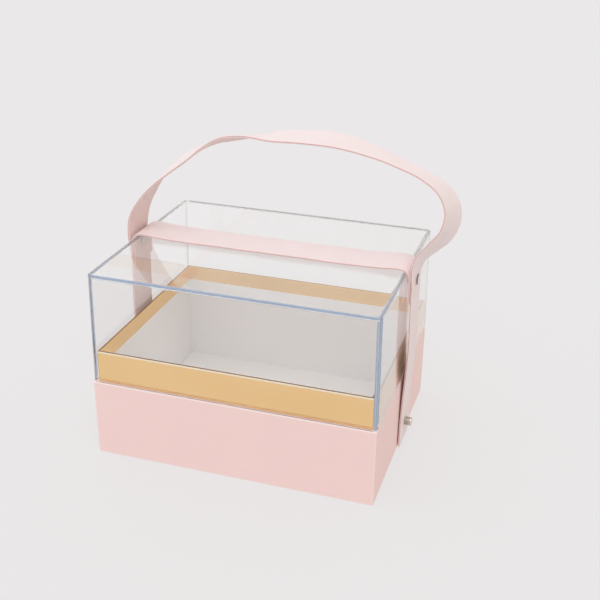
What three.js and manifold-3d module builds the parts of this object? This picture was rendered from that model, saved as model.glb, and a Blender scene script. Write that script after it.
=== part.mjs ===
// A rigid flower box: a paper-covered greyboard tray with a foil-covered collar, a clear lid that slips
// over the collar, and a strap set that buttons onto two studs and carries the box by a tall handle loop.
// Millimetres, +Z up. The origin is the centre of the tray's underside, +X runs along the long side,
// and the front is at -Y.
import * as THREE from "three";
import { mergeVertices } from "three/addons/utils/BufferGeometryUtils.js";
import Module from "manifold-3d";

// Tray
const TRAY_WIDTH = 250;
const TRAY_DEPTH = 200;
const TRAY_HEIGHT = 71;
const WALL_BOARD = 3.5;
const FLOOR_BOARD = 2.5;
const COVER_PAPER = 0.3;
const TURN_IN = 15;
const TURN_UNDER = 15;

// Collar and linings
const COLLAR_TOP = 99.5;
const COLLAR_BOARD = 2;
const LINING_PAPER = 0.25;
const FOIL_BELOW_RIM = 15;
const FOIL_INSIDE = 14;
const FLOOR_CARD = 0.7;

// Lid
const LID_TOP = 170.6;
const LID_WALL = 2.8;
const LID_OVERHANG = 0.2;
const LID_DRAFT = 1.2;
const LID_CORNER_RADIUS = 5;
const LID_EDGE_ROUND = 2;

// Straps
const STRAP_WIDTH = 35;
const STRAP_THICK = 2;
const STRAP_Y = 6.5;
const CROSS_FACE_X = 125.7;
const CROSS_END_Z = 143;
const CROSS_BEND_RADIUS = 9;
const CROSS_LIFT = 2;
const CROSS_RISE = 15;
const LEG_TOP_Z = 140.5;
const LEG_END_Z = 2;
const TURNING_GAP = 0.3;

// Rivets
const RIVET_Z = 160;
const RIVET_POST_RADIUS = 1.7;
const RIVET_CAP_RADIUS = 4.75;
const RIVET_CAP_THICK = 1.6;
const RIVET_BACK_THICK = 0.9;

// Studs
const STUD_Z = 19.5;
const STUD_HEAD_RADIUS = 4;
const STUD_HEAD_LENGTH = 6;
const STUD_NECK_RADIUS = 2.3;
const STUD_NECK_LENGTH = 3.1;
const SCREW_RADIUS = 1.6;
const SCREW_HEAD_RADIUS = 4.4;
const SCREW_HEAD_THICK = 1;
const SCREW_CLEARANCE = 0.15;
const BUTTONHOLE_CLEARANCE = 0.6;
const BUTTONHOLE_SLACK = 6.4;

// Worked out from the sizes above: half sizes of each layer, from the outside in
const HALF_WIDTH = TRAY_WIDTH / 2;
const HALF_DEPTH = TRAY_DEPTH / 2;
const BOARD_INSET = COVER_PAPER;
const TRAY_INNER_INSET = BOARD_INSET + WALL_BOARD;
const FOIL_INSET = TRAY_INNER_INSET + COVER_PAPER;
const COLLAR_INSET = FOIL_INSET + LINING_PAPER;
const LINING_INSET = COLLAR_INSET + COLLAR_BOARD;
const CAVITY_INSET = LINING_INSET + LINING_PAPER;
const FLOOR_BOARD_TOP = COVER_PAPER + FLOOR_BOARD;
const FLOOR_TOP = FLOOR_BOARD_TOP + FLOOR_CARD;
const WALL_BOARD_TOP = TRAY_HEIGHT - COVER_PAPER;
const COLLAR_BOARD_TOP = COLLAR_TOP - LINING_PAPER;
const FOIL_INNER_EDGE = COLLAR_TOP - FOIL_INSIDE;
const FRONT = STRAP_Y - STRAP_WIDTH / 2;
const BACK = STRAP_Y + STRAP_WIDTH / 2;
const CROSS_X = CROSS_FACE_X + STRAP_THICK / 2;
const HANDLE_X = CROSS_X + STRAP_THICK + TURNING_GAP;
const LARGE = 400;

const finish = (color, roughness, metalness = 0) =>
  new THREE.MeshStandardMaterial({ color, roughness, metalness });
const pinkPaper = finish(0xeccfca, 0.7);
const greyboard = finish(0x9c958b, 0.9);
const goldFoil = finish(0xdcb783, 0.35, 0.9);
const whitePaper = finish(0xf1efeb, 0.8);
const pinkLeather = finish(0xf0d4d1, 0.55);
const nickel = finish(0xb9b3a9, 0.3, 1);
const clearPlastic = finish(0xdde5ec, 0.08);
clearPlastic.transparent = true;
clearPlastic.opacity = 0.35;

const wasm = await Module();
wasm.setup();

// A closed three.js geometry as a solid for joining and cutting.
function solid(geometry) {
  const bare = geometry.clone();
  bare.deleteAttribute("normal");
  bare.deleteAttribute("uv");
  const merged = mergeVertices(bare, 1e-4);
  const vertProperties = merged.attributes.position.array;
  const triVerts = new Uint32Array(merged.index.array);
  return new wasm.Manifold(new wasm.Mesh({ numProp: 3, vertProperties, triVerts }));
}

// The solid back as a three.js geometry.
function geometryOf(manifold) {
  const { vertProperties, triVerts } = manifold.getMesh();
  const geometry = new THREE.BufferGeometry();
  geometry.setAttribute("position", new THREE.BufferAttribute(vertProperties, 3));
  geometry.setIndex(new THREE.BufferAttribute(triVerts, 1));
  geometry.computeVertexNormals();
  return geometry;
}

// A block between two corners.
function block([x0, y0, z0], [x1, y1, z1]) {
  const geometry = new THREE.BoxGeometry(x1 - x0, y1 - y0, z1 - z0);
  return geometry.translate((x0 + x1) / 2, (y0 + y1) / 2, (z0 + z1) / 2);
}

// A block centred on the box's upright axis, drawn in by an inset from the tray's outside.
function layer(inset, low, high) {
  const x = HALF_WIDTH - inset;
  const y = HALF_DEPTH - inset;
  return block([-x, -y, low], [x, y, high]);
}

// A round bar along X between two places.
function bar(radius, x0, x1, y, z, sides = 24) {
  const geometry = new THREE.CylinderGeometry(radius, radius, x1 - x0, sides);
  return geometry.rotateZ(-Math.PI / 2).translate((x0 + x1) / 2, y, z);
}

// A turned piece on an axis along X, from a profile of [radius, distance outwards] pairs.
function turned(profile, x, y, z, sides = 32) {
  const points = profile.map(([radius, out]) => new THREE.Vector2(radius, out));
  const geometry = new THREE.LatheGeometry(points, sides);
  return geometry.rotateZ(-Math.PI / 2).translate(x, y, z);
}

// A flat band that follows an outline of [x, z] points in the upright plane, with its width along Y.
function band(points, steps) {
  const path = new THREE.SplineCurve(points.map(([x, z]) => new THREE.Vector2(x, z)));
  const outer = [];
  const inner = [];
  for (let step = 0; step <= steps; step += 1) {
    const place = path.getPointAt(step / steps);
    const along = path.getTangentAt(step / steps);
    const half = STRAP_THICK / 2;
    outer.push(new THREE.Vector2(place.x - along.y * half, place.y + along.x * half));
    inner.unshift(new THREE.Vector2(place.x + along.y * half, place.y - along.x * half));
  }
  const outline = new THREE.Shape([...outer, ...inner]);
  const geometry = new THREE.ExtrudeGeometry(outline, { depth: STRAP_WIDTH, bevelEnabled: false });
  return geometry.rotateX(Math.PI / 2).translate(0, BACK, 0);
}

// A rectangle with rounded corners, centred on the origin.
function roundedRectangle(halfX, halfY, radius) {
  const shape = new THREE.Shape();
  shape.moveTo(-halfX + radius, -halfY);
  shape.lineTo(halfX - radius, -halfY);
  shape.absarc(halfX - radius, -halfY + radius, radius, -Math.PI / 2, 0);
  shape.lineTo(halfX, halfY - radius);
  shape.absarc(halfX - radius, halfY - radius, radius, 0, Math.PI / 2);
  shape.lineTo(-halfX + radius, halfY);
  shape.absarc(-halfX + radius, halfY - radius, radius, Math.PI / 2, Math.PI);
  shape.lineTo(-halfX, -halfY + radius);
  shape.absarc(-halfX + radius, -halfY + radius, radius, Math.PI, 1.5 * Math.PI);
  return shape;
}

// The front or back board (side -1 or 1), as long as the inset allows.
function longBoard(side, inset, thickness, low, high) {
  const x = HALF_WIDTH - inset;
  const near = side * (HALF_DEPTH - inset);
  const far = side * (HALF_DEPTH - inset - thickness);
  return block([-x, Math.min(near, far), low], [x, Math.max(near, far), high]);
}

// The left or right board (side -1 or 1), which stands between the front and back boards.
function shortBoard(side, inset, thickness, low, high) {
  const y = HALF_DEPTH - inset - thickness;
  const near = side * (HALF_WIDTH - inset);
  const far = side * (HALF_WIDTH - inset - thickness);
  return block([Math.min(near, far), -y, low], [Math.max(near, far), y, high]);
}

// One of the collar's four boards, cut by longBoard or shortBoard.
function collarBoard(cut, side) {
  return cut(side, COLLAR_INSET, COLLAR_BOARD, FLOOR_BOARD_TOP, COLLAR_BOARD_TOP);
}

// A tray side board with the stud's screw hole, and the pocket that sinks the screw's head.
function sideBoard(side) {
  const board = solid(shortBoard(side, BOARD_INSET, WALL_BOARD, COVER_PAPER, WALL_BOARD_TOP));
  const inner = HALF_WIDTH - TRAY_INNER_INSET;
  const pocketDepth = SCREW_HEAD_THICK + SCREW_CLEARANCE;
  const hole = bar(SCREW_RADIUS + SCREW_CLEARANCE, inner - 1, HALF_WIDTH, STRAP_Y, STUD_Z);
  const pocket = bar(SCREW_HEAD_RADIUS + SCREW_CLEARANCE, inner - 1, inner + pocketDepth, STRAP_Y, STUD_Z);
  const cutter = solid(hole).add(solid(pocket));
  return geometryOf(board.subtract(side > 0 ? cutter : cutter.mirror([1, 0, 0])));
}

// The covering paper: up the outside, over the rim and down inside, and under the bottom edge.
function trayWrap() {
  const outside = solid(layer(0, 0, TRAY_HEIGHT));
  const boards = solid(layer(BOARD_INSET, COVER_PAPER, WALL_BOARD_TOP));
  const turnIn = solid(layer(TRAY_INNER_INSET, TRAY_HEIGHT - TURN_IN, WALL_BOARD_TOP));
  const mouth = solid(layer(FOIL_INSET, COVER_PAPER * 2, LARGE));
  const under = solid(layer(TURN_UNDER, -LARGE, COVER_PAPER * 3));
  const screwHole = bar(SCREW_RADIUS + SCREW_CLEARANCE, -LARGE, LARGE, STRAP_Y, STUD_Z);
  const hollow = boards.subtract(turnIn);
  return geometryOf(outside.subtract(hollow).subtract(mouth).subtract(under).subtract(solid(screwHole)));
}

// The foil: up the collar's outside from below the tray's rim, over its edge and down inside.
function collarFoil() {
  const outside = solid(layer(FOIL_INSET, TRAY_HEIGHT - FOIL_BELOW_RIM, COLLAR_TOP));
  const boards = solid(layer(COLLAR_INSET, 0, COLLAR_BOARD_TOP));
  const inside = solid(layer(LINING_INSET, FOIL_INNER_EDGE, COLLAR_BOARD_TOP));
  const mouth = solid(layer(CAVITY_INSET, 0, LARGE));
  return geometryOf(outside.subtract(boards.subtract(inside)).subtract(mouth));
}

// The white lining on the collar's inner faces, from the floor to the foil.
function innerLining() {
  const outside = solid(layer(LINING_INSET, FLOOR_TOP, FOIL_INNER_EDGE));
  return geometryOf(outside.subtract(solid(layer(CAVITY_INSET, 0, LARGE))));
}

// A lid-shaped block whose sides draw in towards the top, with rounded upright and top edges.
function lidBlock(inset, low, high) {
  const edge = LID_EDGE_ROUND;
  const halfX = HALF_WIDTH + LID_OVERHANG - inset;
  const halfY = HALF_DEPTH + LID_OVERHANG - inset;
  const radius = LID_CORNER_RADIUS - inset / 2;
  const outline = roundedRectangle(halfX - edge, halfY - edge, radius - edge);
  const bevel = { bevelThickness: edge, bevelSize: edge, bevelSegments: 3, curveSegments: 5 };
  const geometry = new THREE.ExtrudeGeometry(outline, { depth: high - low - 2 * edge, ...bevel });
  geometry.translate(0, 0, low + edge);
  const place = geometry.attributes.position;
  for (let i = 0; i < place.count; i += 1) {
    const risen = (place.getZ(i) - TRAY_HEIGHT) / (LID_TOP - TRAY_HEIGHT);
    place.setX(i, place.getX(i) * (1 - (risen * LID_DRAFT) / halfX));
    place.setY(i, place.getY(i) * (1 - (risen * LID_DRAFT) / halfY));
  }
  return solid(geometry);
}

// The clear lid: one moulded shell, open below.
function lidShell() {
  const low = TRAY_HEIGHT - 2 * LID_EDGE_ROUND;
  const outside = lidBlock(0, low, LID_TOP);
  const inside = lidBlock(LID_WALL, low - LID_EDGE_ROUND, LID_TOP - LID_WALL);
  const below = solid(block([-LARGE, -LARGE, -LARGE], [LARGE, LARGE, TRAY_HEIGHT]));
  return geometryOf(outside.subtract(inside).subtract(below));
}

// The cross strap lies over the lid, lifts a little at each edge, and bends down to the rivets.
function crossStrap() {
  const topX = CROSS_X - CROSS_BEND_RADIUS;
  const flatZ = LID_TOP + TURNING_GAP + STRAP_THICK / 2;
  const bendZ = flatZ + CROSS_LIFT - CROSS_BEND_RADIUS;
  const bend = [];
  for (const degrees of [90, 70, 45, 20, 0]) {
    const angle = THREE.MathUtils.degToRad(degrees);
    const x = topX + CROSS_BEND_RADIUS * Math.cos(angle);
    bend.push([x, bendZ + CROSS_BEND_RADIUS * Math.sin(angle)]);
  }
  const half = [[0, flatZ], [topX / 3, flatZ], [topX - 2 * CROSS_RISE, flatZ],
    [topX - CROSS_RISE, flatZ + CROSS_LIFT / 2], ...bend, [CROSS_X, RIVET_Z],
    [CROSS_X, (RIVET_Z + CROSS_END_Z) / 2], [CROSS_X, CROSS_END_Z]];
  const mirrored = half.slice(1).reverse().map(([x, z]) => [-x, z]);
  const strap = solid(band([...mirrored, ...half], 120));
  const hole = bar(RIVET_POST_RADIUS + SCREW_CLEARANCE, -LARGE, LARGE, STRAP_Y, RIVET_Z);
  return geometryOf(strap.subtract(solid(hole)));
}

// The middle of the long strap, from rivet to rivet, standing in a loop over the lid.
function handleLoop() {
  const foot = RIVET_Z - STRAP_WIDTH / 2;
  const route = [[-HANDLE_X, foot], [-HANDLE_X, RIVET_Z], [-HANDLE_X, 172], [-127, 187], [-118.5, 203],
    [-106, 220.5], [-91, 235], [-75, 246.5], [-58, 256], [-40, 263.5], [-18, 269], [6, 272], [32, 273.5],
    [60, 272], [86, 267], [112, 259.5], [136, 250], [151, 238], [156.5, 224], [153.5, 209], [144.5, 194.5],
    [133.8, 181], [HANDLE_X + 0.3, 171], [HANDLE_X, RIVET_Z], [HANDLE_X, foot]];
  const strap = solid(band(route, 130));
  const above = solid(block([-LARGE, -LARGE, RIVET_Z], [LARGE, LARGE, LARGE]));
  const rounding = solid(bar(STRAP_WIDTH / 2, -LARGE, LARGE, STRAP_Y, RIVET_Z, 48));
  const hole = solid(bar(RIVET_POST_RADIUS + TURNING_GAP, -LARGE, LARGE, STRAP_Y, RIVET_Z));
  return geometryOf(strap.intersect(above.add(rounding)).subtract(hole));
}

// One hanging end of the long strap (side -1 or 1), with the buttonhole that slips over the stud.
function strapLeg(side) {
  const route = [[129, LEG_TOP_Z], [129.5, 120], [129.4, 98], [128.5, 70], [127.3, 42], [126.8, 24],
    [126.8, LEG_END_Z]].map(([x, z]) => [side * x, z]);
  const leg = solid(band(side > 0 ? route : route.reverse(), 36));
  const radius = STUD_HEAD_RADIUS + BUTTONHOLE_CLEARANCE;
  const low = STUD_Z - BUTTONHOLE_SLACK;
  const upper = bar(radius, -LARGE, LARGE, STRAP_Y, STUD_Z);
  const lower = bar(radius, -LARGE, LARGE, STRAP_Y, low);
  const middle = block([-LARGE, STRAP_Y - radius, low], [LARGE, STRAP_Y + radius, STUD_Z]);
  const buttonhole = solid(upper).add(solid(lower)).add(solid(middle));
  return geometryOf(leg.subtract(buttonhole));
}

// A domed rivet cap on the strap's outer face, set on the hollow end of the post.
function rivetCap(side) {
  const edge = RIVET_CAP_THICK * 0.35;
  const profile = [[0, 0], [RIVET_CAP_RADIUS * 0.94, 0], [RIVET_CAP_RADIUS, edge * 0.5],
    [RIVET_CAP_RADIUS, edge], [RIVET_CAP_RADIUS * 0.86, RIVET_CAP_THICK * 0.75],
    [RIVET_CAP_RADIUS * 0.5, RIVET_CAP_THICK * 0.97], [0, RIVET_CAP_THICK]];
  const start = HANDLE_X + STRAP_THICK / 2 + TURNING_GAP;
  return turned(profile, start, STRAP_Y, RIVET_Z).applyMatrix4(sideMatrix(side));
}

// The rivet's flat back cap against the lid side, in one piece with its post.
function rivetPost(side) {
  const start = CROSS_FACE_X - RIVET_BACK_THICK;
  const end = HANDLE_X + STRAP_THICK / 2 + TURNING_GAP;
  const profile = [[0, 0], [RIVET_CAP_RADIUS * 0.9, 0], [RIVET_CAP_RADIUS, RIVET_BACK_THICK * 0.5],
    [RIVET_CAP_RADIUS, RIVET_BACK_THICK], [RIVET_POST_RADIUS, RIVET_BACK_THICK],
    [RIVET_POST_RADIUS, end - start], [0, end - start]];
  return turned(profile, start, STRAP_Y, RIVET_Z).applyMatrix4(sideMatrix(side));
}

// The turned stud knob: a neck as long as the strap is thick, a plain head, and a blind tapped hole.
function studKnob(side) {
  const total = STUD_NECK_LENGTH + STUD_HEAD_LENGTH;
  const chamfer = 0.6;
  const profile = [[0, 0], [STUD_NECK_RADIUS, 0], [STUD_NECK_RADIUS, STUD_NECK_LENGTH],
    [STUD_HEAD_RADIUS - chamfer, STUD_NECK_LENGTH], [STUD_HEAD_RADIUS, STUD_NECK_LENGTH + chamfer],
    [STUD_HEAD_RADIUS, total - chamfer], [STUD_HEAD_RADIUS - chamfer, total], [0, total]];
  const knob = solid(turned(profile, HALF_WIDTH, STRAP_Y, STUD_Z));
  const bore = bar(SCREW_RADIUS + SCREW_CLEARANCE, 0, screwTip() + SCREW_CLEARANCE, STRAP_Y, STUD_Z);
  return geometryOf(knob.subtract(solid(bore))).applyMatrix4(sideMatrix(side));
}

// How far out along X the stud's screw reaches.
function screwTip() {
  return HALF_WIDTH + STUD_NECK_LENGTH + STUD_HEAD_LENGTH / 2;
}

// The stud's flat-headed screw, driven from inside through the tray's side board.
function studScrew(side) {
  const start = HALF_WIDTH - TRAY_INNER_INSET;
  const length = screwTip() - start;
  const profile = [[0, 0], [SCREW_HEAD_RADIUS, 0], [SCREW_HEAD_RADIUS, SCREW_HEAD_THICK],
    [SCREW_RADIUS, SCREW_HEAD_THICK], [SCREW_RADIUS, length], [0, length]];
  return turned(profile, start, STRAP_Y, STUD_Z).applyMatrix4(sideMatrix(side));
}

// Leaves a right-hand piece where it is, or turns it half round the strap's upright centre line.
function sideMatrix(side) {
  const turn = new THREE.Matrix4().makeRotationZ(side > 0 ? 0 : Math.PI);
  const shift = new THREE.Matrix4().makeTranslation(0, STRAP_Y, 0);
  return shift.clone().multiply(turn).multiply(shift.clone().invert());
}

const flowerBox = new THREE.Group();

// Adds one named piece to the box.
function add(name, geometry, material) {
  const mesh = new THREE.Mesh(geometry, material);
  mesh.name = name;
  flowerBox.add(mesh);
}

add("base_bottom_sheet", layer(TURN_UNDER, 0, COVER_PAPER), pinkPaper);
add("base_floor_board", layer(TRAY_INNER_INSET, COVER_PAPER, FLOOR_BOARD_TOP), greyboard);
add("base_front_board", longBoard(-1, BOARD_INSET, WALL_BOARD, COVER_PAPER, WALL_BOARD_TOP), greyboard);
add("base_back_board", longBoard(1, BOARD_INSET, WALL_BOARD, COVER_PAPER, WALL_BOARD_TOP), greyboard);
add("base_left_board", sideBoard(-1), greyboard);
add("base_right_board", sideBoard(1), greyboard);
add("base_wrap", trayWrap(), pinkPaper);
add("collar_front_board", collarBoard(longBoard, -1), greyboard);
add("collar_back_board", collarBoard(longBoard, 1), greyboard);
add("collar_left_board", collarBoard(shortBoard, -1), greyboard);
add("collar_right_board", collarBoard(shortBoard, 1), greyboard);
add("collar_foil", collarFoil(), goldFoil);
add("inner_lining", innerLining(), whitePaper);
add("inner_floor_card", layer(LINING_INSET, FLOOR_BOARD_TOP, FLOOR_TOP), whitePaper);
add("lid_shell", lidShell(), clearPlastic);
add("cross_strap", crossStrap(), pinkLeather);
add("handle_loop", handleLoop(), pinkLeather);
for (const [name, side] of [["left", -1], ["right", 1]]) {
  add(`strap_leg_${name}`, strapLeg(side), pinkLeather);
  add(`rivet_cap_${name}`, rivetCap(side), nickel);
  add(`rivet_post_${name}`, rivetPost(side), nickel);
  add(`stud_knob_${name}`, studKnob(side), nickel);
  add(`stud_screw_${name}`, studScrew(side), nickel);
}

export default flowerBox;
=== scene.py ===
"""A rigid flower box: paper-covered tray, foil-edged collar, clear lid, and a buttoned strap set.

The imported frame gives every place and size. Lengths in this file are millimetres unless a docstring says
otherwise, and they become metres where a mesh is made.
"""

import logging
import math
from dataclasses import dataclass, field
from enum import Enum
from functools import partial
from typing import Any, Callable, ClassVar, Optional, Sequence

import bmesh
import bpy
import numpy as np
from bpy.types import Material, Node, NodeSocket, NodeTree, Object
from mathutils import Matrix, Vector


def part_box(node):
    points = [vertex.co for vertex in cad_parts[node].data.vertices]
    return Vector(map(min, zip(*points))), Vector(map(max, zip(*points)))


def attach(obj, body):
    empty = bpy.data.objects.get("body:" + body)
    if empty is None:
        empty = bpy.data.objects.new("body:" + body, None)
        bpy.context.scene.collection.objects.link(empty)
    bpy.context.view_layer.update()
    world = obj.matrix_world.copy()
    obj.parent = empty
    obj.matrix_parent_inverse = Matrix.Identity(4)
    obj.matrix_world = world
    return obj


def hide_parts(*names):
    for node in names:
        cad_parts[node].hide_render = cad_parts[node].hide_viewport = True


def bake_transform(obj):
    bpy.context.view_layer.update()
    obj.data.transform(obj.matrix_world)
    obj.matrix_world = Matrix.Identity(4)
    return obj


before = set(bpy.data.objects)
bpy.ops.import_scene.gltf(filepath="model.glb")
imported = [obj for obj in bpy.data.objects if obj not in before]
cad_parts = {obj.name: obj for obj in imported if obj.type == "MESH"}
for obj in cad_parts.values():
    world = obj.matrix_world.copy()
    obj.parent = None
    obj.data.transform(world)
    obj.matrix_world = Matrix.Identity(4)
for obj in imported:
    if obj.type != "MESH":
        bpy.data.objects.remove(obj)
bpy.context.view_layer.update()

log = logging.getLogger("flower_box")

MM = 0.001
WELD_REACH = 0.001
AddNode = Callable[..., Node]

# Which output is a node's result, where it isn't the first one.
RESULT_OUTPUT = {"ShaderNodeMix": 2, "ShaderNodeAttribute": 2, "ShaderNodeTexWave": 1}

# A wave texture's phase runs at 20 radians for each unit of its scaled place.
WAVE_RADIAN = 1 / 20

# Nearly all of a noise's values lie between these.
NOISE_SPREAD = {"From Min": 0.3, "From Max": 0.7}


class Side(Enum):
    """Which end of the box a piece is on: the sign of its X."""

    LEFT = -1
    RIGHT = 1

    @property
    def word(self) -> str:
        """The side's name, as the CAD nodes have it."""
        return self.name.lower()


# ---- frame places


def node_box(node: str) -> tuple[np.ndarray, np.ndarray]:
    """Gives a CAD node's lowest and highest corners.

    Args:
        node: the CAD node's name.

    Returns:
        Two arrays of x, y and z in millimetres.
    """
    low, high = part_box(node)
    return np.array(low) / MM, np.array(high) / MM


def node_axis(node: str) -> tuple[float, float]:
    """Gives the place of the axis along X that a round CAD node is turned about.

    Args:
        node: the CAD node's name.

    Returns:
        The axis's y and z in millimetres.
    """
    low, high = node_box(node)
    return (low[1] + high[1]) / 2, (low[2] + high[2]) / 2


# ---- node trees


def linear(colour: str) -> tuple[float, float, float, float]:
    """Turns an sRGB hex colour into linear light.

    Args:
        colour: six hex digits after a hash sign.

    Returns:
        Red, green, blue and an alpha of 1.
    """
    channels = [int(colour[i : i + 2], 16) / 255 for i in (1, 3, 5)]
    light = [c / 12.92 if c <= 0.04045 else ((c + 0.055) / 1.055) ** 2.4 for c in channels]
    return (light[0], light[1], light[2], 1.0)


def add_node(
    tree: NodeTree,
    kind: str,
    settings: Optional[dict[Any, Any]] = None,
    links: Optional[dict[Any, Node | NodeSocket]] = None,
) -> Node:
    """Adds a node with its settings and links.

    Args:
        tree: the tree that the node joins.
        kind: the node's type without its first word, such as TexNoise.
        settings: node properties by attribute name, and unlinked inputs by socket name or number, with
            colours as sRGB hex.
        links: the output that feeds each linked input, or the node whose result does.

    Returns:
        The new node.
    """
    node = tree.nodes.new("ShaderNode" + kind)
    for name, value in (settings or {}).items():
        if isinstance(name, str) and hasattr(node, name):
            setattr(node, name, value)
        else:
            is_colour = isinstance(value, str) and value.startswith("#")
            node.inputs[name].default_value = linear(value) if is_colour else value
    for name, source in (links or {}).items():
        if isinstance(source, Node):
            source = source.outputs[RESULT_OUTPUT.get(source.bl_idname, 0)]
        tree.links.new(source, node.inputs[name])
    return node


# ---- finishes


class Finish:
    """A finish that is made once and shared by every piece that has it."""

    name: str
    slot: str
    _made: ClassVar[dict[str, Material]] = {}

    def material(self) -> Material:
        """Gives this finish's material, which the first call makes.

        Returns:
            The material, with its shader joined to its output.
        """
        if self.name not in Finish._made:
            material = bpy.data.materials.new(self.name)
            material.use_nodes = True
            material.node_tree.nodes.clear()
            add = partial(add_node, material.node_tree)
            add("OutputMaterial", {}, {"Surface": self.shade(add)})
            Finish._made[self.name] = material
        return Finish._made[self.name]

    def shade(self, add: AddNode) -> Node:
        """Fills the material's node tree.

        Args:
            add: adds a node to the material's tree.

        Returns:
            The node whose shader the surface shows.
        """
        raise NotImplementedError


@dataclass(frozen=True)
class SheetPaper(Finish):
    """Uncoated or lightly coated paper on board: matt, with a felt-side grain and faint cloudiness.

    The grain is the mark of the paper maker's felt, under 1 mm across, and the clouding is the glue and
    board below, about 30 mm across. Folds are painted a little paler, which the "fold" attribute places:
    partly burnishing, and partly a painted highlight along the rim and the corners.
    """

    name: str
    slot: str
    colour: str
    cloud_colour: str
    fold_highlight_colour: str
    roughness: float = 0.62
    uneven: float = 0.05
    specular: float = 0.35
    grain: float = 0.9
    grain_height: float = 0.03
    grain_dark: float = 0.975
    grain_light: float = 1.02
    cloud: float = 32.0

    def shade(self, add: AddNode) -> Node:
        """Mixes the cloud colour and the painted fold highlight over the paper's own, and raises the grain.

        Args:
            add: adds a node to the material's tree.

        Returns:
            The paper's shader.
        """
        coordinate = add("TexCoord").outputs["Object"]
        cloud = add(
            "TexNoise", {"Scale": 1 / (self.cloud * MM), "Detail": 3.0, "Roughness": 0.55},
            {"Vector": coordinate},
        )
        grain = add(
            "TexNoise", {"Scale": 1 / (self.grain * MM), "Detail": 4.0, "Roughness": 0.6},
            {"Vector": coordinate},
        )
        clouded = add("Mix", {"data_type": "RGBA", 6: self.colour, 7: self.cloud_colour}, {0: cloud})
        speck = add(
            "MapRange",
            {**NOISE_SPREAD, "To Min": self.grain_dark, "To Max": self.grain_light},
            {"Value": grain},
        )
        grained = add("Mix", {"data_type": "RGBA", "blend_type": "MULTIPLY", 0: 1.0}, {6: clouded, 7: speck})
        # The fold attribute paints the folds paler: partly burnishing, partly a painted highlight.
        fold = add("Attribute", {"attribute_name": "fold"})
        fold_highlighted = add("Mix", {"data_type": "RGBA", 7: self.fold_highlight_colour}, {0: fold, 6: grained})
        rough, smooth = self.roughness + self.uneven, self.roughness - self.uneven
        dull = add("MapRange", {"To Min": rough, "To Max": smooth}, {"Value": grain})
        bump = add("Bump", {"Strength": 0.5, "Distance": self.grain_height * MM}, {"Height": grain})
        return add(
            "BsdfPrincipled", {"Specular IOR Level": self.specular},
            {"Base Color": fold_highlighted, "Roughness": dull, "Normal": bump},
        )


@dataclass(frozen=True)
class FoilPaper(Finish):
    """Hot-stamped metallic foil on paper: a satin mirror, a little uneven from the paper below.

    The paper's roughness shows as an orange peel about 16 mm across, and the pressure of the stamping
    as slow changes of tone, 25 mm high and four times as long. A cream painted highlight runs along its
    outer folds, which the "fold" attribute places, and its narrow top edge is painted darker as a painted
    dark reflection, which the "deep" attribute places.
    """

    name: str = "gold_foil_paper"
    slot: str = "gold_foil"
    colour: str = "#FFD899"
    warm_colour: str = "#FACD86"
    fold_highlight_colour: str = "#FFF6E0"
    painted_dark_colour: str = "#8A5A20"
    metallic: float = 0.75
    roughness: float = 0.24
    uneven: float = 0.02
    peel: float = 16.0
    peel_height: float = 0.02
    streak: float = 25.0
    streak_length: float = 4.0

    def shade(self, add: AddNode) -> Node:
        """Varies the foil's tone and roughness, and gives it its orange peel.

        Args:
            add: adds a node to the material's tree.

        Returns:
            The foil's shader.
        """
        coordinate = add("TexCoord").outputs["Object"]
        peel = add("TexNoise", {"Scale": 1 / (self.peel * MM), "Detail": 0.0}, {"Vector": coordinate})
        squeeze = 1 / self.streak_length
        streak_place = add("Mapping", {"Scale": (squeeze, squeeze, 1.0)}, {"Vector": coordinate})
        streak = add("TexNoise", {"Scale": 1 / (self.streak * MM), "Detail": 0.0}, {"Vector": streak_place})
        toned = add("Mix", {"data_type": "RGBA", 6: self.colour, 7: self.warm_colour}, {0: streak})
        # A cream painted highlight along the outer folds.
        fold = add("Attribute", {"attribute_name": "fold"})
        fold_highlighted = add("Mix", {"data_type": "RGBA", 7: self.fold_highlight_colour}, {0: fold, 6: toned})
        # The narrow top edge is painted darker, as a painted dark reflection.
        deep = add("Attribute", {"attribute_name": "deep"})
        painted_dark = add("Mix", {"data_type": "RGBA", 7: self.painted_dark_colour}, {0: deep, 6: fold_highlighted})
        rough, smooth = self.roughness + self.uneven, self.roughness - self.uneven
        dull = add("MapRange", {"To Min": smooth, "To Max": rough}, {"Value": streak})
        bump = add("Bump", {"Strength": 0.2, "Distance": self.peel_height * MM}, {"Height": peel})
        return add(
            "BsdfPrincipled", {"Metallic": self.metallic},
            {"Base Color": painted_dark, "Roughness": dull, "Normal": bump},
        )


@dataclass(frozen=True)
class Greyboard(Finish):
    """Recycled greyboard, as cut: matt grey with pale and dark fibres about 1.5 mm long."""

    name: str = "greyboard"
    slot: str = "greyboard"
    colour: str = "#A39B90"
    fibre_colour: str = "#7F776C"
    fibre: float = 1.5
    fibre_height: float = 0.05

    def shade(self, add: AddNode) -> Node:
        """Scatters fibres over the board and roughens it with them.

        Args:
            add: adds a node to the material's tree.

        Returns:
            The board's shader.
        """
        coordinate = add("TexCoord").outputs["Object"]
        fibre = add(
            "TexNoise", {"Scale": 1 / (self.fibre * MM), "Detail": 6.0, "Roughness": 0.7, "Distortion": 1.5},
            {"Vector": coordinate},
        )
        mixed = add("Mix", {"data_type": "RGBA", 6: self.colour, 7: self.fibre_colour}, {0: fibre})
        bump = add("Bump", {"Strength": 0.6, "Distance": self.fibre_height * MM}, {"Height": fibre})
        return add(
            "BsdfPrincipled", {"Roughness": 0.9, "Specular IOR Level": 0.2},
            {"Base Color": mixed, "Normal": bump},
        )


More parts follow.
